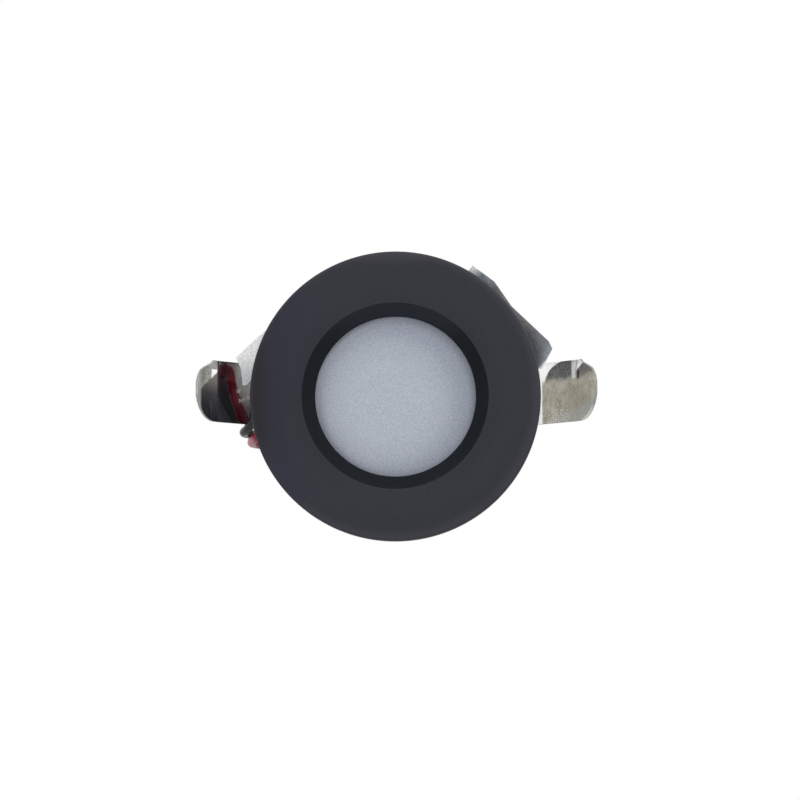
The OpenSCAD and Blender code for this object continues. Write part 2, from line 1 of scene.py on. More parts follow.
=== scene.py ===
# Small recessed spotlight, seen from the front: black flange, frosted window, sprung clips, two wires.
import math
import bpy
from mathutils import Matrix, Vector


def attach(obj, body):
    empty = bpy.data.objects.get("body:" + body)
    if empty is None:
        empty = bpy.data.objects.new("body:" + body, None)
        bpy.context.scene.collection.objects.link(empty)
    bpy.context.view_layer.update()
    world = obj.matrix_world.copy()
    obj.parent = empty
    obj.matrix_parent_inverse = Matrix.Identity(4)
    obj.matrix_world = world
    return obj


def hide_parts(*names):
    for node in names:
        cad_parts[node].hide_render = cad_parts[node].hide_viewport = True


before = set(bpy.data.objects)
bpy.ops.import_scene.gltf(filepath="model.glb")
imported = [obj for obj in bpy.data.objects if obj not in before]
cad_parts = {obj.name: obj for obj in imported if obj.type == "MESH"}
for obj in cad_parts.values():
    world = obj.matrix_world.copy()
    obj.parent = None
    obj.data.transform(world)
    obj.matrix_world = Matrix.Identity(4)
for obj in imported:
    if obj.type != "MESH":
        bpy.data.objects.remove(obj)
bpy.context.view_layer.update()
scene = bpy.context.scene
pi = math.pi


def face(x, y, z):
    # millimetres seen from the front (right, up, towards the viewer) to the frame's metres
    return Vector((x, -z, y)) / 1000


# camera, light and floor

cameraSet = {"aim": face(0, 0, 2), "up": -5.5, "right": 1.8, "distance": 0.52, "lens": 131.2, "sensor": 36,
             "shift": (0.00615, -0.0058), "nearest": 0.01}


def placeCamera():
    up, right = math.radians(cameraSet["up"]), math.radians(cameraSet["right"])
    back = Vector((math.sin(right) * math.cos(up), -math.cos(right) * math.cos(up), math.sin(up)))
    bpy.ops.object.camera_add(location=cameraSet["aim"] + cameraSet["distance"] * back)
    camera = bpy.context.active_object
    camera.rotation_euler = back.to_track_quat("Z", "Y").to_euler()
    camera.data.lens = cameraSet["lens"]
    camera.data.sensor_width = cameraSet["sensor"]
    camera.data.shift_x, camera.data.shift_y = cameraSet["shift"]
    camera.data.clip_start = cameraSet["nearest"]
    scene.camera = camera


lightSet = {
    "world": 0.85,   # what lights the lamp
    "seen": 1,       # what the camera and mirrors see
    "key": {"place": (0.35, -0.55, 0.6), "size": 0.5, "power": 1.25},
    "fill": {"place": (-0.6, -0.5, 0.1), "size": 0.6, "power": 1.1},
}


def addLamp(name, place, size, power):
    bpy.ops.object.light_add(type="AREA", location=place)
    lamp = bpy.context.active_object
    lamp.name = name
    lamp.data.shape = "DISK"
    lamp.data.size = size
    lamp.data.energy = power
    lamp.rotation_euler = Vector(place).to_track_quat("Z", "Y").to_euler()


def setLight():
    world = bpy.data.worlds.new("whiteTent")
    scene.world = world
    world.use_nodes = True
    tree = world.node_tree
    paths = tree.nodes.new("ShaderNodeLightPath").outputs
    seen = calc(tree, "MAXIMUM", paths["Is Camera Ray"], paths["Is Glossy Ray"])
    seen = calc(tree, "MAXIMUM", seen, paths["Is Transmission Ray"])
    sky = tree.nodes["Background"]
    sky.inputs["Color"].default_value = (1, 1, 1, 1)
    tree.links.new(spread(tree, seen, lightSet["world"], lightSet["seen"]), sky.inputs["Strength"])
    addLamp("keyLamp", **lightSet["key"])
    addLamp("fillLamp", **lightSet["fill"])


floorSet = {"size": 2, "height": -0.12, "colour": (0.80, 0.80, 0.79), "roughness": 0.9}


def layFloor():
    bpy.ops.mesh.primitive_plane_add(size=floorSet["size"], location=(0, 0, floorSet["height"]))
    floor = bpy.context.active_object
    floor.name = "floor"
    bpy.ops.object.transform_apply(location=True)
    paper = newFinish("palePaper", floorSet["colour"], floorSet["roughness"])
    floor.data.materials.append(paper[0])


# small helpers for materials: tree is the node tree, and values are sockets or plain numbers

def newFinish(name, colour, roughness, metallic=0.0, specular=0.5):
    material = bpy.data.materials.new(name)
    material.use_nodes = True
    shader = material.node_tree.nodes["Principled BSDF"]
    shader.inputs["Base Color"].default_value = (*colour, 1)
    shader.inputs["Roughness"].default_value = roughness
    shader.inputs["Metallic"].default_value = metallic
    shader.inputs["Specular IOR Level"].default_value = specular
    return material, material.node_tree, shader


def pattern(tree, scale, detail, roughness, stretch=(1, 1, 1)):
    # noise in the object's own metres
    place = tree.nodes.new("ShaderNodeTexCoord")
    mapping = tree.nodes.new("ShaderNodeMapping")
    mapping.inputs["Scale"].default_value = stretch
    noise = tree.nodes.new("ShaderNodeTexNoise")
    noise.inputs["Scale"].default_value = scale
    noise.inputs["Detail"].default_value = detail
    noise.inputs["Roughness"].default_value = roughness
    tree.links.new(place.outputs["Object"], mapping.inputs["Vector"])
    tree.links.new(mapping.outputs[0], noise.inputs["Vector"])
    return noise.outputs[0]


def ramp(tree, source, stops):
    node = tree.nodes.new("ShaderNodeValToRGB")
    while len(node.color_ramp.elements) < len(stops):
        node.color_ramp.elements.new(0.5)
    for element, (place, colour) in zip(node.color_ramp.elements, stops):
        element.position = place
        element.color = (*colour, 1)
    tree.links.new(source, node.inputs[0])
    return node.outputs[0]


def spread(tree, source, low, high, fromLow=0.0, fromHigh=1.0):
    node = tree.nodes.new("ShaderNodeMapRange")
    node.inputs["From Min"].default_value = fromLow
    node.inputs["From Max"].default_value = fromHigh
    node.inputs["To Min"].default_value = low
    node.inputs["To Max"].default_value = high
    tree.links.new(source, node.inputs["Value"])
    return node.outputs[0]


def uneven(tree, noise, low, high):
    # most of a noise's values lie between 0.3 and 0.7
    return spread(tree, noise, low, high, fromLow=0.3, fromHigh=0.7)


def coat(tree, shader, colour, bumps, height, strength):
    # the colour, and a bumpy surface
    tree.links.new(colour, shader.inputs["Base Color"])
    bump = tree.nodes.new("ShaderNodeBump")
    bump.inputs["Distance"].default_value = height
    bump.inputs["Strength"].default_value = strength
    tree.links.new(bumps, bump.inputs["Height"])
    tree.links.new(bump.outputs[0], shader.inputs["Normal"])


def feed(tree, socket, value):
    # a number or a colour is set on the socket, and anything else is linked to it
    if isinstance(value, (int, float)):
        socket.default_value = value
    elif isinstance(value, tuple):
        socket.default_value = (*value, 1)
    else:
        tree.links.new(value, socket)


def calc(tree, kind, *values):
    # one step of arithmetic
    node = tree.nodes.new("ShaderNodeMath")
    node.operation = kind
    for socket, value in zip(node.inputs, values):
        feed(tree, socket, value)
    return node.outputs[0]


def product(tree, *masks):
    result = masks[0]
    for mask in masks[1:]:
        result = calc(tree, "MULTIPLY", result, mask)
    return result


def ease(tree, value, start, end):
    # goes smoothly from 0 at start to 1 at end, either way round
    node = tree.nodes.new("ShaderNodeMapRange")
    node.interpolation_type = "SMOOTHSTEP"
    node.inputs["From Min"].default_value = start
    node.inputs["From Max"].default_value = end
    tree.links.new(value, node.inputs["Value"])
    return node.outputs[0]


def measure(tree):
    # the piece's own places in millimetres, by name: to the right, towards the viewer and up
    coords = tree.nodes.new("ShaderNodeTexCoord")
    split = tree.nodes.new("ShaderNodeSeparateXYZ")
    tree.links.new(coords.outputs["Object"], split.inputs[0])
    axes = (("right", 0, 1000), ("near", 1, -1000), ("up", 2, 1000))
    return {name: calc(tree, "MULTIPLY", split.outputs[axis], scale) for name, axis, scale in axes}


def gap(tree, first, second, middle):
    # distance from a place in the plane of two measures
    one = calc(tree, "SUBTRACT", first, middle[0])
    two = calc(tree, "SUBTRACT", second, middle[1])
    return calc(tree, "SQRT", calc(tree, "MULTIPLY_ADD", one, one, calc(tree, "MULTIPLY", two, two)))


def slant(tree, first, share, second):
    # a share of one measure added to another, for lines that slope
    return calc(tree, "MULTIPLY_ADD", first, share, second)


def paintOver(tree, under, over, mask, kind="MIX"):
    # colours, mixed by a mask
    node = tree.nodes.new("ShaderNodeMix")
    node.data_type = "RGBA"
    node.blend_type = kind
    for socket, value in ((node.inputs[0], mask), (node.inputs[6], under), (node.inputs[7], over)):
        feed(tree, socket, value)
    return node.outputs[2]


def slide(tree, under, over, mask):
    # numbers, mixed by a mask
    node = tree.nodes.new("ShaderNodeMix")
    node.data_type = "FLOAT"
    for socket, value in ((node.inputs[0], mask), (node.inputs[2], under), (node.inputs[3], over)):
        feed(tree, socket, value)
    return node.outputs[0]


def maskOf(tree, measures, where):
    # where lists (measure, start, end), and the mask is 1 where all of them have passed their ends
    return product(tree, *[ease(tree, measures[name], start, end) for name, start, end in where])


def patched(tree, under, measures, patches):
    # a patch is a colour, its strength, and where it lies
    for colour, strength, where in patches:
        mask = product(tree, maskOf(tree, measures, where), strength)
        under = paintOver(tree, under, colour, mask)
    return under


def layered(tree, under, masks, layers):
    # a layer is its mask's name, a colour and its strength
    for name, colour, strength in layers:
        under = paintOver(tree, under, colour, product(tree, masks[name], strength))
    return under


def lightUp(tree, shader, strength):
    shader.inputs["Emission Color"].default_value = (1, 1, 1, 1)
    tree.links.new(strength, shader.inputs["Emission Strength"])


# finishes: places and distances are in millimetres, and a noise goes by its value

white = (1.0, 1.0, 1.0)

flangeSet = {
    "grain": [(0.3, (0.013, 0.0142, 0.0215)), (0.7, (0.019, 0.0205, 0.030))],
    "grainScale": 2600, "cloudScale": 90, "roughness": (0.42, 0.52),
    "rimCentre": (-0.4, 0.4),
    "patches": [
        # painted shade darkening the left part, a painted highlight along the rim, painted light on its
        # top, and painted shade beside the recess
        ((0.004, 0.0032, 0.0085), 0.95, [("right", -17, -25), ("up", -17, -6)]),
        ((0.031, 0.032, 0.041), 0.8, [("fromRimCentre", 24.2, 26.0), ("right", -26, -18)]),
        ((0.044, 0.044, 0.052), 0.6, [("up", 23, 26)]),
        ((0.011, 0.0115, 0.018), 0.6, [("fromMiddle", 20, 17.4), ("aside", 6, 14)]),
        # clouds, and a bluish tinge on the left
        ((0.017, 0.018, 0.027), 0.4, [("cloud", 0.5, 0.7)]),
        ((0.0125, 0.013, 0.031), 0.7, [("right", -13, -18), ("right", -25, -22), ("cloud", 0.3, 0.55)]),
    ],
}


def blackPaint():
    # satin black, with painted light and shade over it
    material, tree, shader = newFinish("blackPaint", (0.015, 0.0155, 0.024), 0.46, specular=0.3)
    grain = pattern(tree, flangeSet["grainScale"], detail=4, roughness=0.6)
    at = measure(tree)
    at["aside"] = calc(tree, "ABSOLUTE", at["right"])
    at["cloud"] = pattern(tree, flangeSet["cloudScale"], detail=3, roughness=0.5)
    at["fromMiddle"] = gap(tree, at["right"], at["up"], (0, 0))
    at["fromRimCentre"] = gap(tree, at["right"], at["up"], flangeSet["rimCentre"])
    paint = patched(tree, ramp(tree, grain, flangeSet["grain"]), at, flangeSet["patches"])
    satin = uneven(tree, at["cloud"], *flangeSet["roughness"])
    tree.links.new(satin, shader.inputs["Roughness"])
    coat(tree, shader, paint, grain, height=0.00002, strength=0.5)
    return material


recessSet = {
    "grain": [(0.3, (0.006, 0.0078, 0.0115)), (0.7, (0.011, 0.0135, 0.019))],
    "grainScale": 2600,
    "patches": [
        # painted light at the top and painted shade on the right
        ((0.018, 0.0215, 0.029), 0.75, [("up", 9, 15)]),
        ((0.0035, 0.005, 0.007), 0.6, [("right", 9, 15)]),
    ],
}


def shadedRecessPaint():
    # the same black, matter, and darker with painted shade on the ring round the window
    material, tree, shader = newFinish("shadedRecessPaint", (0.006, 0.009, 0.0125), 0.6, specular=0.1)
    grain = pattern(tree, recessSet["grainScale"], detail=4, roughness=0.6)
    at = measure(tree)
    paint = patched(tree, ramp(tree, grain, recessSet["grain"]), at, recessSet["patches"])
    coat(tree, shader, paint, grain, height=0.00002, strength=0.4)
    return material


windowSet = {
    "frost": [(0.37, (0.335, 0.366, 0.418)), (0.63, (0.468, 0.502, 0.562))],
    "speckleScale": 4200,
    # painted shade: dimmer with the distance from the brightest place, by shares of the reach
    "brightest": (-1.4, -0.9), "reach": 16,
    "shade": [(0.0, white), (0.42, (0.99, 0.99, 0.99)), (0.62, (0.905, 0.907, 0.925)),
              (0.70, (0.84, 0.845, 0.87)), (0.78, (0.75, 0.76, 0.80)), (0.87, (0.70, 0.71, 0.755))],
    # and painted light along the upper left rim
    "rimCentre": (1.6, -1.6), "rim": [((0.90, 0.91, 0.95), 1.0, [("fromRimCentre", 15.0, 16.1)])],
}


def frostedWindow():
    # fine speckle, with painted shade towards the edge and painted light along the upper left rim
    material, tree, shader = newFinish("frostedWindow", (0.45, 0.48, 0.53), 0.55)
    speckle = pattern(tree, windowSet["speckleScale"], detail=3, roughness=0.7)
    at = measure(tree)
    at["fromRimCentre"] = gap(tree, at["right"], at["up"], windowSet["rimCentre"])
    distance = gap(tree, at["right"], at["up"], windowSet["brightest"])
    away = calc(tree, "DIVIDE", distance, windowSet["reach"])
    shade = patched(tree, ramp(tree, away, windowSet["shade"]), at, windowSet["rim"])
    frost = paintOver(tree, ramp(tree, speckle, windowSet["frost"]), shade, 1.0, "MULTIPLY")
    coat(tree, shader, frost, speckle, height=0.00003, strength=0.4)
    return material


grainSet = {"fine": 2100, "cloud": 620, "streak": 1300, "upright": (1, 1, 0.22), "fineShare": 0.6,
            "wander": 7.0}


def clipMeasures(tree, side):
    # out runs from the flange to the clip's tip, and wander makes an edge uneven by some millimetres
    at = measure(tree)
    at["out"] = calc(tree, "MULTIPLY", at["right"], side)
    at["fine"] = pattern(tree, grainSet["fine"], detail=5, roughness=0.75)
    at["cloud"] = pattern(tree, grainSet["cloud"], detail=6, roughness=0.7)
    at["streak"] = pattern(tree, grainSet["streak"], detail=3, roughness=0.6, stretch=grainSet["upright"])
    clouded = calc(tree, "MULTIPLY", at["cloud"], 1 - grainSet["fineShare"])
    mixed = slant(tree, at["fine"], grainSet["fineShare"], clouded)
    at["wander"] = calc(tree, "MULTIPLY", calc(tree, "SUBTRACT", mixed, 0.5), grainSet["wander"])
    return at


rightSet = {
    "haze": [(0.38, (0.62, 0.575, 0.455)), (0.50, (0.79, 0.745, 0.62)), (0.60, (0.90, 0.86, 0.755))],
    "dark": [(0.40, (0.18, 0.185, 0.20)), (0.50, (0.25, 0.255, 0.265)), (0.58, (0.38, 0.385, 0.39))],
    "whiteReflection": [(0.35, (0.86, 0.87, 0.88)), (0.6, white)],
    "slit": (0.05, 0.05, 0.055),
    "patches": [
        # pale and brown grain, a darker blotch, and grey metal low down
        ((0.97, 0.94, 0.85), 0.8, [("fine", 0.53, 0.60)]),
        ((0.50, 0.44, 0.34), 0.38, [("streak", 0.46, 0.34)]),
        ((0.62, 0.57, 0.45), 0.45, [("fromBlotch", 3.2, 0.8)]),
        ((0.78, 0.78, 0.75), 0.85, [("downAndOut", 16.6, 18.8)]),
    ],
    "masks": {
        # painted glints that glow, low down next to the flange
        "glintSpecks": [("speck", 0.57, 0.61), ("up", 0.6, -2.2), ("out", 32.2, 30.4), ("out", 27.0, 28.0)],
        # painted dark reflections at the lobe and the flap
        "lobe": [("raised", 3.9, 4.9), ("unevenRing", 4.12, 3.9), ("out", 31.95, 31.75)],
        "flap": [("flapLine", -1.0, 0.0), ("out", 32.6, 32.8)],
        # painted white reflections that glow, at the corner and the sliver
        "corner": [("ring", 4.0, 4.2), ("up", 3.6, 4.6), ("out", 31.5, 31.0)],
        "sliver": [("out", 26.66, 26.5)],
        # a painted highlight that glows along the line, more where it branches
        "line": [("out", 31.75, 31.95), ("lean", 32.75, 32.55), ("up", 4.0, 4.5)],
        "slit": [("out", 32.6, 32.75), ("out", 33.3, 33.1), ("up", 3.9, 4.3), ("up", 5.8, 5.2)],
        "lit": [("low", 5.3, 5.45), ("up", -0.8, -2.2), ("out", 33.4, 33.9)],
        "branch": [("out", 32.7, 33.0)],
    },
    "speckScale": 3200,
    "blotch": (32.9, 0.2), "downShare": 0.5, "ring": (31.1, 3.6), "ringWander": 0.12, "flapSlope": -0.15,
    # the line widens into a branch above this height
    "branchFrom": 5.6, "branchSlope": -0.9,
    # the ellipse of the round end: its middle, and its height over its width
    "endMiddle": (33.24, 1.95), "endStretch": 2.13,
    "roughness": (0.26, 0.38), "reflectionRoughness": 0.12,
    "glow": {"glintSpecks": 0.2, "lit": 0.2, "corner": 0.40, "sliver": 0.40}, "lineGlow": (0.10, 0.42),
}


def rightPlate():
    # yellow-grey haze over bright plating, with painted reflections towards the top, dark and white, and
    # painted glints and highlights that glow
    material, tree, shader = newFinish("rightPlate", (0.8, 0.76, 0.64), 0.3, 0.85)
    at = clipMeasures(tree, 1)
    out, up = at["out"], at["up"]
    at["speck"] = pattern(tree, rightSet["speckScale"], detail=2, roughness=0.5)
    at["fromBlotch"] = gap(tree, out, up, rightSet["blotch"])
    at["downAndOut"] = slant(tree, out, rightSet["downShare"], calc(tree, "MULTIPLY", up, -1))
    at["raised"] = calc(tree, "ADD", up, at["wander"])
    at["ring"] = gap(tree, out, up, rightSet["ring"])
    at["unevenRing"] = slant(tree, at["wander"], rightSet["ringWander"], at["ring"])
    at["flapLine"] = slant(tree, out, rightSet["flapSlope"], at["raised"])
    aboveBranch = calc(tree, "MAXIMUM", calc(tree, "SUBTRACT", up, rightSet["branchFrom"]), 0.0)
    at["lean"] = slant(tree, aboveBranch, rightSet["branchSlope"], out)
    endRight, endUp = rightSet["endMiddle"]
    endOut = calc(tree, "MULTIPLY", calc(tree, "SUBTRACT", out, endRight), rightSet["endStretch"])
    at["low"] = gap(tree, endOut, up, (0, endUp))
    masks = {name: maskOf(tree, at, where) for name, where in rightSet["masks"].items()}

    haze = patched(tree, ramp(tree, at["cloud"], rightSet["haze"]), at, rightSet["patches"])
    dark = ramp(tree, at["fine"], rightSet["dark"])
    whiteReflection = ramp(tree, at["fine"], rightSet["whiteReflection"])
    # painted glints, dark and white reflections and highlights over the haze
    haze = layered(tree, haze, masks, [
        ("glintSpecks", white, 1.0), ("lobe", dark, 1.0), ("flap", dark, 0.85), ("corner", whiteReflection, 1.0),
        ("sliver", whiteReflection, 0.9), ("line", white, 1.0), ("slit", rightSet["slit"], 0.85),
        ("lit", white, 1.0)])
    wearAndSheen = uneven(tree, at["cloud"], *rightSet["roughness"])
    reflectionMask = calc(tree, "MAXIMUM", masks["corner"], masks["line"])
    tree.links.new(slide(tree, wearAndSheen, rightSet["reflectionRoughness"], reflectionMask), shader.inputs["Roughness"])
    # the painted glints, white reflections and highlights glow
    glow = product(tree, masks["line"], slide(tree, *rightSet["lineGlow"], masks["branch"]))
    for name, strength in rightSet["glow"].items():
        glow = calc(tree, "MAXIMUM", glow, product(tree, masks[name], strength))
    lightUp(tree, shader, glow)
    coat(tree, shader, haze, at["fine"], height=0.00002, strength=0.45)
    return material


leftSet = {
    "plate": [(0.35, (0.46, 0.47, 0.46)), (0.65, (0.66, 0.66, 0.645))],
    "patches": [
        # dark grain, a painted dark reflection at the top beside the fold, and painted shade low down next
        # to the flange
        ((0.34, 0.34, 0.34), 0.4, [("fine", 0.50, 0.40)]),
        ((0.17, 0.17, 0.165), 0.75, [("out", 29.0, 30.0), ("up", 4.0, 6.2)]),
        ((0.30, 0.27, 0.30), 0.85, [("up", 0.3, -0.6), ("out", 30.2, 29.0)]),
    ],
    "layers": [("glints", (0.72, 0.72, 0.69), 1.0), ("darkReflection", (0.028, 0.029, 0.036), 0.97),
               ("greyReflection", (0.085, 0.085, 0.105), 0.9), ("redReflection", (0.07, 0.008, 0.018), 1.0)],
    "topRedReflection": 0.93, "lineRedReflection": 0.7, "topDull": 0.9,
    "masks": {
        # painted glints next to the flange: a slanting row and a spot
        "glintNoise": [("fine", 0.44, 0.52)],
        "row": [("fromRow", 0.55, 0.2), ("out", 29.4, 29.1)],
        "spot": [("fromSpot", 0.5, 0.2)],
        # a painted dark reflection left of the wires' image, a painted grey reflection low down, and a
        # painted red reflection of the wire at its top
        "darkReflection": [("darkReflectionEdge", 30.3, 30.45), ("up", 5.1, 4.8)],
        "greyReflection": [("greyReflectionEdge", 32.1, 32.4), ("up", 0.9, 0.3)],
        "top": [("out", 31.15, 31.3), ("up", 4.35, 4.65), ("topLine", 23.25, 22.9)],
        "line": [("out", 32.25, 32.45), ("up", 1.4, 2.4), ("up", 4.9, 4.5)],
        # the foot, a painted beige reflection above a slanting line, its short glowing painted highlight,
        # and a painted highlight along its rim
        "foot": [("out", 32.75, 32.9)],
        "beige": [("above", -0.2, 0.3)],
        "shine": [("above", -0.15, 0.05), ("up", 5.95, 5.75), ("out", 33.8, 33.6), ("out", 32.75, 32.9)],
        "rim": [("out", 35.15, 35.5)],
    },
    "row": 13.72, "rowSlope": 0.45, "spot": (29.3, 2.35), "darkReflectionSlope": -0.3, "greyReflectionSlope": -0.55,
    "topSlope": 0.5, "footLine": 50.8, "footSlope": 1.38, "footWander": 0.25, "highlightSpot": (33.45, 6.4),
    "footLow": -4, "footHigh": 9,
    "beige": [(0.42, (0.62, 0.61, 0.53)), (0.58, (1.0, 1.0, 0.94))],
    "darkFoot": [(0.0, (0.10, 0.10, 0.135)), (0.35, (0.135, 0.13, 0.165)), (0.6, (0.20, 0.19, 0.205)),
                 (0.88, (0.50, 0.48, 0.44))],
    "darkStreaks": [((0.45, 0.45, 0.47), 0.35, [("streak", 0.54, 0.64)])],
    "footPatches": [
        # a painted highlight along the edge above the line, and a painted highlight beside the fold
        ((1.0, 0.99, 0.90), 1.0, [("above", -0.1, 0.2), ("above", 1.2, 0.6)]),
        ((1.0, 0.96, 1.0), 0.8, [("fromHighlightSpot", 1.0, 0.5)]),
    ],
    "footLayers": [("shine", white, 1.0), ("rim", (1.0, 1.0, 0.93), 0.85)],
    "roughness": (0.02, 0.06), "footRoughness": 0.30, "glow": 0.6,
    "metal": {"plate": 1.0, "dull": 0.5, "glints": 0.2, "foot": 0.85, "rim": 0.6},
}


def leftFoot(tree, at, masks):
    # painted reflections: beige above a slanting line and dark grey below it, darker towards the bottom
    height = calc(tree, "SUBTRACT", at["up"], leftSet["footLow"])
    height = calc(tree, "DIVIDE", height, leftSet["footHigh"])
    foot = patched(tree, ramp(tree, height, leftSet["darkFoot"]), at, leftSet["darkStreaks"])
    foot = paintOver(tree, foot, ramp(tree, at["fine"], leftSet["beige"]), masks["beige"])
    foot = patched(tree, foot, at, leftSet["footPatches"])
    return layered(tree, foot, masks, leftSet["footLayers"])


def leftPlate():
    # clean enough to mirror the wires next to the flange, with painted glints and painted dark, grey and
    # red reflections there, and painted reflections and glowing painted highlights towards its end
    material, tree, shader = newFinish("leftPlate", (0.5, 0.5, 0.49), 0.07, 1.0)
    at = clipMeasures(tree, -1)
    out, up = at["out"], at["up"]
    row = slant(tree, out, leftSet["rowSlope"], calc(tree, "SUBTRACT", up, leftSet["row"]))
    at["fromRow"] = calc(tree, "ABSOLUTE", row)
    at["fromSpot"] = gap(tree, out, up, leftSet["spot"])
    at["darkReflectionEdge"] = slant(tree, up, leftSet["darkReflectionSlope"], out)
    at["greyReflectionEdge"] = slant(tree, up, leftSet["greyReflectionSlope"], out)
    at["topLine"] = slant(tree, out, leftSet["topSlope"], up)
    footLine = calc(tree, "SUBTRACT", up, leftSet["footLine"])
    footLine = slant(tree, out, leftSet["footSlope"], footLine)
    at["above"] = slant(tree, at["wander"], leftSet["footWander"], footLine)
    at["fromHighlightSpot"] = gap(tree, out, up, leftSet["highlightSpot"])
    masks = {name: maskOf(tree, at, where) for name, where in leftSet["masks"].items()}
    masks["glints"] = product(tree, masks["glintNoise"], calc(tree, "MAXIMUM", masks["row"], masks["spot"]))
    topRedReflection = product(tree, masks["top"], leftSet["topRedReflection"])
    lineRedReflection = product(tree, masks["line"], leftSet["lineRedReflection"])
    masks["redReflection"] = calc(tree, "MAXIMUM", topRedReflection, lineRedReflection)

    plate = patched(tree, ramp(tree, at["cloud"], leftSet["plate"]), at, leftSet["patches"])
    # the painted glints, and the painted dark, grey and red reflections
    plate = layered(tree, plate, masks, leftSet["layers"])
    plate = paintOver(tree, plate, leftFoot(tree, at, masks), masks["foot"])
    dull = calc(tree, "MAXIMUM", masks["darkReflection"], product(tree, masks["top"], leftSet["topDull"]))
    metal = slide(tree, leftSet["metal"]["plate"], leftSet["metal"]["dull"], dull)
    metal = slide(tree, metal, leftSet["metal"]["glints"], masks["glints"])
    footMetal = slide(tree, leftSet["metal"]["foot"], leftSet["metal"]["rim"], masks["rim"])
    tree.links.new(slide(tree, metal, footMetal, masks["foot"]), shader.inputs["Metallic"])
    polish = uneven(tree, at["cloud"], *leftSet["roughness"])
    polish = slide(tree, polish, leftSet["footRoughness"], masks["foot"])
    tree.links.new(polish, shader.inputs["Roughness"])
    lightUp(tree, shader, product(tree, masks["shine"], leftSet["glow"]))
    coat(tree, shader, plate, at["streak"], height=0.000002, strength=0.2)
    return material


edgeSet = {
    "wall": [(0.35, (0.24, 0.24, 0.22)), (0.65, (0.40, 0.40, 0.38))], "grainScale": 2600,
    # the lit stretch low on the right clip's end
    "lit": [("right", 33.2, 33.8), ("up", -0.6, -2.4)], "litColour": (0.48, 0.48, 0.46), "glow": 0.05,
}


def plateEdge():
    # the sheet's cut edge
    material, tree, shader = newFinish("plateEdge", (0.4, 0.4, 0.375), 0.42, 0.4)
    fine = pattern(tree, edgeSet["grainScale"], detail=3, roughness=0.6)
    lit = maskOf(tree, measure(tree), edgeSet["lit"])
    wall = paintOver(tree, ramp(tree, fine, edgeSet["wall"]), edgeSet["litColour"], lit)
    lightUp(tree, shader, product(tree, lit, edgeSet["glow"]))
    coat(tree, shader, wall, fine, height=0.00001, strength=0.4)
    return material


padSet = {
    "speckle": [(0.38, (0.66, 0.67, 0.68)), (0.50, (0.79, 0.795, 0.80)), (0.60, (0.90, 0.905, 0.91))],
    "speckleScale": 2500,
    # painted reflections, dark and white, across the upper right pad, from its upper end at 0 to its lower
    # end at 1
    "acrossScale": 0.7071 / 24, "acrossStart": 9 / 24,
    "across": [(0.08, white), (0.16, (0.28, 0.30, 0.34)), (0.23, (0.385, 0.405, 0.445)),
               (0.315, (0.31, 0.315, 0.33)), (0.41, (0.56, 0.56, 0.57)), (0.57, (0.52, 0.51, 0.525)),
               (0.73, (0.30, 0.295, 0.305)), (0.87, (0.285, 0.30, 0.325)), (0.945, (0.46, 0.48, 0.54)),
               (0.965, white)],
    # painted light and shade up the upper left pad, over the first 10 mm
    "riseTo": 10,
    "rise": [(0.20, (0.80, 0.83, 0.84)), (0.31, (0.62, 0.64, 0.66)), (0.39, (0.52, 0.54, 0.56)),
             (0.57, (0.65, 0.66, 0.67)), (0.82, (0.89, 0.89, 0.88))],
    "rightPad": [("right", 2, 6), ("up", 2, 4)], "leftPad": [("right", -2, -6), ("up", -3, 0)],
    "tip": [("across", 0.955, 0.975)], "tipGlow": 0.36,
}


def brightPlate():
    # speckled bright plating, with painted light and shade along the upper right arm's pad and low on the
    # left one, and a glowing painted highlight at the right pad's tip
    material, tree, shader = newFinish("brightPlate", (0.8, 0.8, 0.82), 0.3, 1.0)
    speckle = pattern(tree, padSet["speckleScale"], detail=4, roughness=0.75)
    at = measure(tree)
    toLowerRight = calc(tree, "SUBTRACT", at["right"], at["up"])
    at["across"] = slant(tree, toLowerRight, padSet["acrossScale"], padSet["acrossStart"])
    rightPad = maskOf(tree, at, padSet["rightPad"])
    leftPad = maskOf(tree, at, padSet["leftPad"])
    height = calc(tree, "DIVIDE", at["up"], padSet["riseTo"])
    bright = ramp(tree, speckle, padSet["speckle"])
    padLightAndShade = ramp(tree, at["across"], padSet["across"])
    bright = paintOver(tree, bright, padLightAndShade, rightPad, "MULTIPLY")
    padLightAndShade = ramp(tree, height, padSet["rise"])
    bright = paintOver(tree, bright, padLightAndShade, leftPad, "MULTIPLY")
    tip = maskOf(tree, at, padSet["tip"])
    lightUp(tree, shader, product(tree, rightPad, tip, padSet["tipGlow"]))
    coat(tree, shader, bright, speckle, height=0.00002, strength=0.5)
    return material


plainSet = {"metalShade": 0.75, "plasticShade": 0.85, "grainScale": 1800, "grainHeight": 0.00001,
            "smooth": 0.8, "rough": 1.3}


def plainMetal(name, colour, roughness, grainScale, grainHeight):
    material, tree, shader = newFinish(name, colour, roughness, 1.0)
    grain = pattern(tree, grainScale, detail=4, roughness=0.6)
    darker = tuple(plainSet["metalShade"] * c for c in colour)
    tone = ramp(tree, grain, [(0.3, darker), (0.65, colour)])
    sheen = uneven(tree, grain, roughness * plainSet["smooth"], roughness * plainSet["rough"])
    tree.links.new(sheen, shader.inputs["Roughness"])
    coat(tree, shader, tone, grain, height=grainHeight, strength=0.5)
    return material


def plainPlastic(name, colour, roughness):
    material, tree, shader = newFinish(name, colour, roughness)
    grain = pattern(tree, plainSet["grainScale"], detail=3, roughness=0.6)
    darker = tuple(plainSet["plasticShade"] * c for c in colour)
    tone = ramp(tree, grain, [(0.3, darker), (0.7, colour)])
    coat(tree, shader, tone, grain, height=plainSet["grainHeight"], strength=0.4)
    return material


insulationSet = {"grainScale": 1500, "shade": 0.8, "roughness": (0.20, 0.32),
                 "bend": (-27.6, -7.2), "wearAndSheen": [("fromBend", 1.7, 0.7), ("near", -20, -19)]}


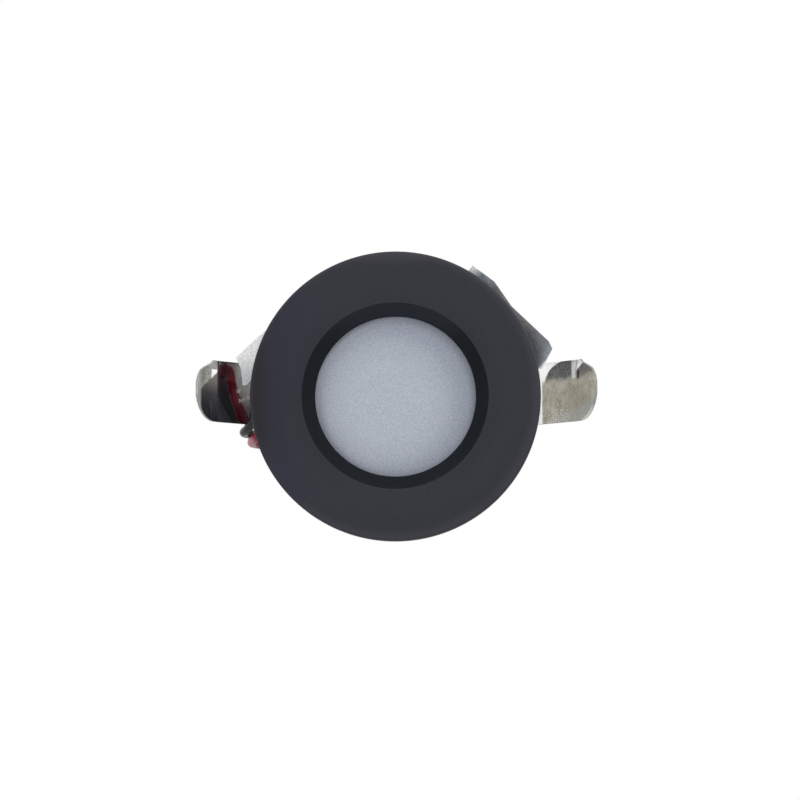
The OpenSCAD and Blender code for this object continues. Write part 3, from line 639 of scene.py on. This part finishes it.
def insulation(name, colour, sheenColour):
    # glossy wire covering, with a painted sheen where it is bent sharply beside the flange
    material, tree, shader = newFinish(name, colour, 0.28, specular=0.33)
    grain = pattern(tree, insulationSet["grainScale"], detail=3, roughness=0.6)
    at = measure(tree)
    at["fromBend"] = gap(tree, at["right"], at["up"], insulationSet["bend"])
    darker = tuple(insulationSet["shade"] * c for c in colour)
    skin = ramp(tree, grain, [(0.3, darker), (0.7, colour)])
    skin = paintOver(tree, skin, sheenColour, maskOf(tree, at, insulationSet["wearAndSheen"]))
    tree.links.new(uneven(tree, grain, *insulationSet["roughness"]), shader.inputs["Roughness"])
    coat(tree, shader, skin, grain, height=0.00001, strength=0.4)
    return material


# plain metals: name, colour, roughness, grain's scale and height; plain plastics: name, colour, roughness
finishes = {
    "black_paint": blackPaint(),
    "black_paint_shaded_recess": shadedRecessPaint(),
    "frosted_diffuser": frostedWindow(),
    "clip_right_plate": rightPlate(),
    "clip_left_plate": leftPlate(),
    "clip_edge": plateEdge(),
    "clip_back": plainMetal("clipBack", (0.74, 0.74, 0.72), 0.28, 800, 0.00001),
    "leaf_plated": brightPlate(),
    "cast_aluminium": plainMetal("castAluminium", (0.76, 0.76, 0.75), 0.42, 700, 0.00006),
    "bracket_steel": plainMetal("bracketZinc", (0.74, 0.74, 0.72), 0.30, 500, 0.00002),
    "rivet_aluminium": plainMetal("rivetAluminium", (0.78, 0.78, 0.78), 0.30, 900, 0.00001),
    "pin_steel": plainMetal("pinSteel", (0.66, 0.66, 0.67), 0.22, 900, 0.00001),
    "spring_steel": plainMetal("springWire", (0.62, 0.62, 0.63), 0.24, 900, 0.00001),
    "screw_steel": plainMetal("screwSteel", (0.70, 0.70, 0.71), 0.26, 900, 0.00001),
    "solder": plainMetal("solder", (0.75, 0.75, 0.76), 0.22, 900, 0.00001),
    "tinned_copper": plainMetal("tinnedCopper", (0.80, 0.79, 0.77), 0.25, 1200, 0.00001),
    "seal_silicone": plainPlastic("sealSilicone", (0.62, 0.62, 0.62), 0.55),
    "white_cup": plainPlastic("whiteCup", (0.85, 0.85, 0.84), 0.5),
    "white_board": plainPlastic("whiteBoard", (0.84, 0.84, 0.82), 0.4),
    "phosphor": plainPlastic("phosphor", (0.82, 0.66, 0.16), 0.5),
    "thermal_grey": plainPlastic("thermalGrey", (0.24, 0.26, 0.28), 0.7),
    "grommet_rubber": plainPlastic("grommetRubber", (0.012, 0.012, 0.013), 0.6),
    # the last colour of each is its painted sheen at the bend
    "red_insulation": insulation("redInsulation", (0.265, 0.014, 0.038), (0.42, 0.20, 0.245)),
    "black_insulation": insulation("blackInsulation", (0.010, 0.010, 0.011), (0.05, 0.05, 0.052)),
}


# cords: the routes that the part's source gives, from the grommet to the stripped ends

redRoute = [(-15.2, -4.2, -13.4), (-17, -4.2, -13.4), (-18.7, -3.7, -13.1), (-19.5, -2.4, -12.6),
            (-19.2, -0.9, -12), (-18.1, 0.4, -11.5), (-16.8, 1.6, -11), (-15.8, 2.9, -10.7),
            (-15.5, 4.4, -10.5), (-16, 5.7, -10.4), (-17.1, 6.9, -10.4), (-18.4, 7.5, -10.4),
            (-19.7, 7.4, -10.9), (-20.6, 6.5, -11.3), (-20.8, 5, -11.6), (-20.8, 3.1, -12),
            (-21.5, 1.1, -12.7), (-22.1, -0.4, -13.3), (-22.9, -1.9, -13.9), (-24, -3.4, -14.4),
            (-25.3, -4.9, -15), (-26.5, -6.1, -15.8), (-27.1, -6.8, -17.2), (-26.8, -6.9, -18.8),
            (-25.6, -7, -20.4), (-24.2, -7.5, -22), (-22.8, -8.4, -23.8), (-21.4, -9.4, -25.7),
            (-20.1, -10.1, -27.7), (-18.7, -10.6, -29.6), (-16.9, -10.9, -31.3), (-14.6, -11, -32.6),
            (-11.6, -11, -33.3), (-8, -11, -33.4), (-4.4, -11, -33.4), (-0.8, -11.1, -33.3),
            (2.2, -11.8, -33.1), (4.6, -13, -32.9), (6, -14.8, -32.7), (6.8, -16.8, -32.6)]
blackRoute = [(-15.2, -6.2, -13.4), (-17.2, -6.2, -13.4), (-18.9, -5.9, -12.9), (-20.2, -4.9, -12),
              (-20.9, -3.5, -11.3), (-21, -1.9, -10.8), (-20.9, -0.3, -10.4), (-21, 1.3, -10.1),
              (-21.5, 2.8, -9.9), (-22.4, 3.9, -9.8), (-23.6, 4.4, -9.8), (-24.9, 4.1, -9.8),
              (-25.8, 3.1, -9.8), (-26.1, 1.7, -10), (-26, 0.2, -10.3), (-26, -1.3, -10.9),
              (-26.3, -2.7, -11.7), (-26.9, -3.8, -12.8), (-27.7, -4.6, -14.1), (-28.4, -5, -15.7),
              (-28.4, -5.1, -17.5), (-27.6, -5.1, -19.2), (-26.3, -5.3, -20.9), (-24.9, -5.8, -22.6),
              (-23.3, -6.6, -24.4), (-21.7, -7.3, -26.3), (-19.9, -7.9, -28.3), (-17.8, -8.2, -30.2),
              (-15.2, -8.2, -31.9), (-12, -8.2, -32.8), (-8.4, -8.2, -32.9), (-4.8, -8.2, -32.9),
              (-1.2, -8.2, -32.9), (2.4, -8.3, -32.9), (5.6, -9, -32.8), (8.2, -10.2, -32.7),
              (9.9, -12.1, -32.6), (10.9, -14.2, -32.5)]
wireSet = {"radius": 0.00085, "steps": 6, "sides": 5,
           "tipRadius": 0.0004, "tipLength": 0.005, "tipSteps": 24, "tipSides": 2,
           "strands": 6, "twist": 1.6}


def smoothPath(points, steps):
    # a soft curve through given points
    path = []
    last = len(points) - 1
    for i in range(last):
        a, b, c, d = points[max(i - 1, 0)], points[i], points[i + 1], points[min(i + 2, last)]
        for k in range(steps):
            t = k / steps
            path.append(0.5 * ((2 * b) + (c - a) * t + (2 * a - 5 * b + 4 * c - d) * t ** 2
                               + (3 * b - a - 3 * c + d) * t ** 3))
    path.append(points[last])
    return path


def roundRod(name, path, radius, sides):
    # sides is the curve's bevel resolution
    curve = bpy.data.curves.new(name, "CURVE")
    curve.dimensions = "3D"
    curve.bevel_depth = radius
    curve.bevel_resolution = sides
    curve.use_fill_caps = True
    spline = curve.splines.new("POLY")
    spline.points.add(len(path) - 1)
    for point, place in zip(spline.points, path):
        point.co = (*place, 1)
    spline.use_smooth = True
    rod = bpy.data.objects.new(name, curve)
    scene.collection.objects.link(rod)
    return rod


def settle(piece, slot, body, *nodes):
    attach(piece, body)
    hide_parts(*nodes)


def dress(piece, slot, body, *nodes):
    piece.data.materials.clear()
    piece.data.materials.append(finishes[slot])
    settle(piece, slot, body, *nodes)


def makeTip(name, start, way, node):
    # a bundle of twisted tinned strands round a straight one
    side = way.orthogonal().normalized()
    other = way.cross(side)
    strandRadius = wireSet["tipRadius"] / 3
    end = start + wireSet["tipLength"] * way
    strands = [roundRod(name, [start, end], strandRadius, wireSet["tipSides"])]
    for k in range(wireSet["strands"]):
        path = []
        for step in range(wireSet["tipSteps"] + 1):
            t = step / wireSet["tipSteps"]
            angle = 2 * pi * (k / wireSet["strands"] + wireSet["twist"] * t)
            path.append(start + wireSet["tipLength"] * t * way
                        + 2 * strandRadius * (math.cos(angle) * side + math.sin(angle) * other))
        strands.append(roundRod(name + "Strand", path, strandRadius, wireSet["tipSides"]))
    bpy.ops.object.select_all(action="DESELECT")
    for strand in strands:
        strand.select_set(True)
    bpy.context.view_layer.objects.active = strands[0]
    bpy.ops.object.convert(target="MESH")
    bpy.ops.object.join()
    tip = bpy.context.active_object
    tip.name = name
    dress(tip, "tinned_copper", "housing", node)
    return tip


def makeWires():
    for colour, route in (("red", redRoute), ("black", blackRoute)):
        points = [face(*p) for p in route]
        path = smoothPath(points, wireSet["steps"])
        wire = roundRod(colour + "Wire", path, wireSet["radius"], wireSet["sides"])
        dress(wire, colour + "_insulation", "housing", "wire_" + colour)
        way = (points[-1] - points[-2]).normalized()
        tip = makeTip(colour + "Tip", points[-1], way, "wire_tip_" + colour)


# turned pieces

def startDrawing(name, place):
    # a single vertex, ready to be extruded along a profile
    bpy.ops.object.select_all(action="DESELECT")
    bpy.ops.mesh.primitive_plane_add(size=0.001)
    piece = bpy.context.active_object
    piece.name = name
    piece.data.name = name
    bpy.ops.object.mode_set(mode="EDIT")
    bpy.ops.mesh.select_mode(type="VERT")
    bpy.ops.mesh.select_all(action="SELECT")
    bpy.ops.mesh.merge(type="CENTER")
    bpy.ops.transform.translate(value=place)
    return piece


def drawOn(*offsets):
    for offset in offsets:
        bpy.ops.mesh.extrude_region_move(TRANSFORM_OT_translate={"value": offset})


def closeSeams():
    # goes back to object mode, too
    bpy.ops.mesh.select_all(action="SELECT")
    bpy.ops.mesh.remove_doubles(threshold=1e-6)
    bpy.ops.mesh.normals_make_consistent(inside=False)
    bpy.ops.object.mode_set(mode="OBJECT")


def turned(name, profile, steps):
    # profile of (radius, depth) in millimetres, turned about the lamp's axis
    places = [face(r, 0, z) for r, z in profile]
    piece = startDrawing(name, places[0])
    drawOn(*[b - a for a, b in zip(places, places[1:])])
    bpy.ops.mesh.select_all(action="SELECT")
    bpy.ops.mesh.spin(steps=steps, angle=2 * pi, center=(0, 0, 0), axis=(0, 1, 0))
    closeSeams()
    bpy.ops.object.shade_smooth_by_angle(angle=math.radians(35))
    return piece


def arc(centre, radius, start, end, steps):
    angles = [math.radians(start + (end - start) * k / steps) for k in range(steps + 1)]
    return [(centre[0] + radius * math.cos(a), centre[1] + radius * math.sin(a)) for a in angles]


bezelSet = {"flange": 26, "front": 2.0, "rim": 0.6, "edge": 0.12, "recess": 16.65, "floor": 0.4,
            "window": 14.4, "corner": 0.05, "lip": -0.4, "bore": 16.3, "collar": 20.5, "back": -7.5,
            "steps": 192,
            # the recess's darker paint, which is painted shade, reaches this far past its wall, below the
            # front and behind the lip
            "past": 0.08, "below": 0.03, "behind": 0.1}


def makeBezel():
    # flange, recess and collar in one, drawn from the collar outwards and back through the bore
    flange, front, rim, edge = (bezelSet[key] for key in ("flange", "front", "rim", "edge"))
    recess, floor, window, corner = (bezelSet[key] for key in ("recess", "floor", "window", "corner"))
    collar, back, bore, lip = (bezelSet[key] for key in ("collar", "back", "bore", "lip"))
    profile = [(collar, 0), (flange - edge, 0)]
    profile += arc((flange - edge, edge), edge, -90, 0, 3)[1:]
    profile += arc((flange - rim, front - rim), rim, 0, 90, 8)
    profile += arc((recess + edge, front - edge), edge, 90, 145, 3)
    profile += [(window + corner, floor + corner), (window, floor), (window, lip), (bore, lip)]
    profile += [(bore, back + edge), (bore + edge, back), (collar - edge, back), (collar, back + edge)]
    profile += [(collar, 0)]
    bezel = turned("bezelBody", profile, bezelSet["steps"])
    bezel.data.materials.append(finishes["black_paint"])
    # the second finish is the black with painted shade, for the recess
    bezel.data.materials.append(finishes["black_paint_shaded_recess"])
    for polygon in bezel.data.polygons:
        radius = 1000 * math.hypot(polygon.center.x, polygon.center.z)
        ahead = -1000 * polygon.center.y
        inDepth = lip - bezelSet["behind"] < ahead < front - bezelSet["below"]
        if inDepth and radius < recess + bezelSet["past"]:
            polygon.material_index = 1
    settle(bezel, "black_paint", "housing", "bezel")


diffuserSet = {"radius": 16.2, "front": -0.9, "back": -2.4, "edge": 0.15, "steps": 96}


def makeDiffuser():
    radius, front, back, edge = (diffuserSet[key] for key in ("radius", "front", "back", "edge"))
    profile = [(0, front), (radius / 2, front)]
    profile += arc((radius - edge, front - edge), edge, 90, 0, 3)
    profile += [(radius, back), (0, back)]
    window = turned("windowDisc", profile, diffuserSet["steps"])
    dress(window, "frosted_diffuser", "housing", "diffuser")


# clips: a sheet drawn as its front face, then given its wall

clipSet = {
    "hinge": (19.2, -26.0), "low": -3.675, "high": 7.575, "thick": 0.5, "edge": 0.07,
    "leafAngle": 46.5, "leafLength": 20.9, "footAngle": 62, "footLength": 7.2, "fold": 1.2, "foldSteps": 6,
    "eye": 1.5, "eyeSweep": 290, "eyeSteps": 36,
    # only the part of the leaf above the notch's top goes on to the hinge
    "notch": 4.0, "notchTop": 0.22,
    # the foot's round end: where it is drawn on, as shares of its reach, and its cut upper corner
    "rows": [0.02, 0.11] + [0.11 + 0.86 * k / 14 for k in range(1, 15)] + [0.985],
    "cut": [(0, 1), (0.11, 0.91), (0.55, 0.74), (0.74, 0.64), (1.0, 0.30)],
}


def activate(piece):
    bpy.ops.object.select_all(action="DESELECT")
    piece.select_set(True)
    bpy.context.view_layer.objects.active = piece


def pickEdges(piece, test):
    # selects the edges whose two ends pass a test, in edit mode
    bpy.ops.mesh.select_all(action="DESELECT")
    bpy.ops.object.mode_set(mode="OBJECT")
    mesh = piece.data
    for edge in mesh.edges:
        edge.select = all(test(mesh.vertices[i].co) for i in edge.vertices)
    bpy.ops.object.mode_set(mode="EDIT")
    bpy.ops.mesh.select_mode(type="EDGE")


def applyModifiers(piece):
    activate(piece)
    for modifier in list(piece.modifiers):
        bpy.ops.object.modifier_apply(modifier=modifier.name)


def flattenFaces(piece, angle=35):
    # smooth bevels and folds, with the big flat faces left truly flat
    activate(piece)
    bpy.ops.object.shade_smooth_by_angle(angle=math.radians(angle))
    flat = piece.modifiers.new("flat", "WEIGHTED_NORMAL")
    flat.mode = "FACE_AREA"
    flat.weight = 100
    flat.keep_sharp = True
    applyModifiers(piece)


def along(start, angle, length):
    # from a place in the side view, at an angle to the flange
    return (start[0] + length * math.cos(angle), start[1] + length * math.sin(angle))


def between(start, end):
    return face(end[0] - start[0], 0, end[1] - start[1])


def planClip():
    # the side view: where the leaf leaves the eye, its notch and fold, and where the foot's end starts
    leaf, foot = math.radians(clipSet["leafAngle"]), math.radians(clipSet["footAngle"])
    root = along(clipSet["hinge"], leaf + pi / 2, clipSet["eye"])
    fold = along(root, leaf, clipSet["leafLength"])
    cut = clipSet["fold"] * math.tan((foot - leaf) / 2)
    foldStart = along(fold, leaf, -cut)
    half = (clipSet["high"] - clipSet["low"]) / 2
    return {
        "leaf": leaf, "foot": foot, "half": half, "root": root,
        "notch": along(root, leaf, clipSet["notch"]),
        "foldStart": foldStart,
        "foldCentre": along(foldStart, leaf + pi / 2, clipSet["fold"]),
        "flat": clipSet["footLength"] - cut - half,
        "endStart": along(fold, foot, clipSet["footLength"] - half),
    }


def drawLeaf(name, plan):
    # a line across the leaf at the notch, drawn upwards, then out to the fold, round it and along the foot
    notch, centre = plan["notch"], plan["foldCentre"]
    piece = startDrawing(name, face(notch[0], clipSet["low"], notch[1]))
    drawOn(face(0, clipSet["notchTop"] - clipSet["low"], 0))
    drawOn(face(0, clipSet["high"] - clipSet["notchTop"], 0))
    bpy.ops.mesh.select_all(action="SELECT")
    drawOn(between(notch, plan["foldStart"]))
    bpy.ops.mesh.spin(steps=clipSet["foldSteps"], angle=plan["foot"] - plan["leaf"],
                      center=face(centre[0], 0, centre[1]), axis=(0, 0, 1))
    drawOn(between((0, 0), along((0, 0), plan["foot"], plan["flat"])))
    return piece


def endHeights(share):
    # heights above and below the foot's middle line at a share of its round end's reach, as shares of half
    roundHeight = math.sqrt(max(0.0, 1 - share * share))
    for (start, high), (end, low) in zip(clipSet["cut"], clipSet["cut"][1:]):
        if start <= share <= end:
            cutHeight = high + (low - high) * (share - start) / (end - start)
            return min(roundHeight, cutHeight), roundHeight
    return roundHeight, roundHeight


def drawRoundEnd(plan):
    # each row is drawn outwards, made lower, and moved so that its ends lie on the outline
    half = plan["half"]
    middle = (clipSet["low"] + clipSet["high"]) / 2
    above, below, before = 1.0, 1.0, 0.0
    for share in clipSet["rows"]:
        drawOn(between((0, 0), along((0, 0), plan["foot"], half * (share - before))))
        newAbove, newBelow = endHeights(share)
        shrink = (newAbove + newBelow) / (above + below)
        spot = along(plan["endStart"], plan["foot"], half * share)
        bpy.ops.transform.resize(value=(1, 1, shrink), center_override=face(spot[0], middle, spot[1]))
        rise = (newAbove - newBelow) / 2 - (above - below) / 2 * shrink
        bpy.ops.transform.translate(value=face(0, half * rise, 0))
        above, below, before = newAbove, newBelow, share


def rollEye(piece, plan):
    # the upper part goes on to the hinge and rolls round the pin
    notch = between((0, 0), plan["notch"])
    top = clipSet["notchTop"] / 1000
    near = 1e-5
    pickEdges(piece, lambda co: math.hypot(co.x - notch.x, co.y - notch.y) < near and co.z > top - near)
    drawOn(between(plan["notch"], plan["root"]))
    bpy.ops.mesh.spin(steps=clipSet["eyeSteps"], angle=math.radians(clipSet["eyeSweep"]),
                      center=face(clipSet["hinge"][0], 0, clipSet["hinge"][1]), axis=(0, 0, 1))


def thicken(piece, finish):
    # normals point to the viewer's side, so the sheet's wall grows backwards
    frontFace = max(piece.data.polygons, key=lambda f: f.area)
    if frontFace.normal.y > 0:
        piece.data.flip_normals()
    for slot in (finish, "clip_edge", "clip_back"):
        piece.data.materials.append(finishes[slot])
    wall = piece.modifiers.new("wall", "SOLIDIFY")
    wall.thickness = clipSet["thick"] / 1000
    wall.offset = -1
    wall.use_even_offset = True
    wall.material_offset_rim = 1
    wall.material_offset = 2
    edge = piece.modifiers.new("edge", "BEVEL")
    edge.width = clipSet["edge"] / 1000
    edge.segments = 2
    edge.limit_method = "ANGLE"
    edge.angle_limit = math.radians(50)
    applyModifiers(piece)
    flattenFaces(piece)


def makeClip(name, side, body, node, finish):
    # drawn as the right clip, and turned over for the left one
    plan = planClip()
    piece = drawLeaf(name, plan)
    drawRoundEnd(plan)
    rollEye(piece, plan)
    bpy.ops.mesh.select_all(action="SELECT")
    bpy.ops.transform.resize(value=(side, 1, 1), center_override=(0, 0, 0))
    closeSeams()
    thicken(piece, finish)
    settle(piece, "clip_plated", body, node)


# torsion springs: the coil stays with the bracket, the long leg goes with the clip

springSet = {"coil": 1.45, "wire": 0.35, "low": -3.275, "pitch": 0.73, "start": 270, "end": 1770,
             "step": 10, "hook": -5.0, "legEnd": (5.072, 6.216), "sides": 4,
             # the leg's piece has this much of the coil, in degrees, and is a little thinner
             "shared": 150, "inner": 0.015}


def makeSpring(name, side, body, node):
    wire, sides, last = springSet["wire"], springSet["sides"], springSet["end"]

    def place(out, height, ahead):
        # from the hinge: out from the lamp's middle, up, and towards the viewer
        return face(side * (clipSet["hinge"][0] + out), height, clipSet["hinge"][1] + ahead)

    def coil(start, end):
        turns = []
        for k in range(int((end - start) / springSet["step"]) + 1):
            angle = start + springSet["step"] * k
            turns.append(place(springSet["coil"] * math.cos(math.radians(angle)),
                               springSet["low"] + springSet["pitch"] * (angle - springSet["start"]) / 360,
                               springSet["coil"] * math.sin(math.radians(angle))))
        return turns

    hook = place(springSet["hook"], springSet["low"], -springSet["coil"])
    still = roundRod(name + "Coil", [hook] + coil(springSet["start"], last), wire / 1000, sides)
    dress(still, "spring_steel", "housing", node)
    top = springSet["low"] + springSet["pitch"] * (last - springSet["start"]) / 360
    legEnd = place(springSet["legEnd"][0], top, springSet["legEnd"][1])
    shared = coil(last - springSet["shared"], last)
    leg = roundRod(name + "Leg", shared + [legEnd], (wire - springSet["inner"]) / 1000, sides)
    dress(leg, "spring_steel", body, node)


# the frame's own solids keep their shape and get their finishes and softened edges

nodeFinishes = {
    "seal_silicone": ["diffuser_seal"],
    "white_cup": ["light_cup"],
    "white_board": ["led_board"],
    "phosphor": ["led_chips"],
    "solder": ["solder_joints"],
    "screw_steel": ["board_screws", "body_screws", "spring_washer", "spring_screw"],
    "thermal_grey": ["thermal_pad"],
    "cast_aluminium": ["heat_sink"],
    "bracket_steel": ["clip_bracket_right", "clip_bracket_left"],
    "rivet_aluminium": ["bracket_rivets"],
    "pin_steel": ["clip_pin_right", "clip_pin_left"],
    "leaf_plated": ["leaf_spring"],
    "grommet_rubber": ["grommet"],
    "red_insulation": ["inner_lead_red"],
    "black_insulation": ["inner_lead_black"],
}

# widths of the softened edges in millimetres
softened = {
    "heat_sink": 0.18, "light_cup": 0.1, "led_board": 0.05, "led_chips": 0.05, "diffuser_seal": 0.08,
    "grommet": 0.12, "clip_bracket_right": 0.09, "clip_bracket_left": 0.09, "leaf_spring": 0.06,
    "spring_washer": 0.06, "spring_screw": 0.1, "body_screws": 0.1, "board_screws": 0.08,
    "bracket_rivets": 0.08, "clip_pin_right": 0.08, "clip_pin_left": 0.08, "thermal_pad": 0.04,
}


def softenEdges(solid, width):
    weld = solid.modifiers.new("weld", "WELD")
    weld.merge_threshold = 1e-6
    clean = solid.modifiers.new("clean", "DECIMATE")
    clean.decimate_type = "DISSOLVE"
    clean.angle_limit = math.radians(1)
    edge = solid.modifiers.new("edge", "BEVEL")
    edge.width = width / 1000
    edge.segments = 2
    edge.limit_method = "ANGLE"
    edge.angle_limit = math.radians(40)
    flat = solid.modifiers.new("flat", "WEIGHTED_NORMAL")
    flat.weight = 100
    for polygon in solid.data.polygons:
        polygon.use_smooth = True


def dressFrame():
    for slot, nodes in nodeFinishes.items():
        for node in nodes:
            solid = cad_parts[node]
            solid.data.materials.clear()
            solid.data.materials.append(finishes[slot])
            if node in softened:
                softenEdges(solid, softened[node])


placeCamera()
setLight()
layFloor()
print("camera, light and floor are in place")
makeWires()
makeBezel()
makeDiffuser()
print("wires, bezel and window are made")
makeClip("rightClip", 1, "right_clip", "clip_right", "clip_right_plate")
makeClip("leftClip", -1, "left_clip", "clip_left", "clip_left_plate")
makeSpring("rightSpring", 1, "right_clip", "torsion_spring_right")
makeSpring("leftSpring", -1, "left_clip", "torsion_spring_left")
print("clips and torsion springs are made")
dressFrame()
print("the other pieces have their finishes")

scene.view_settings.view_transform = "Standard"
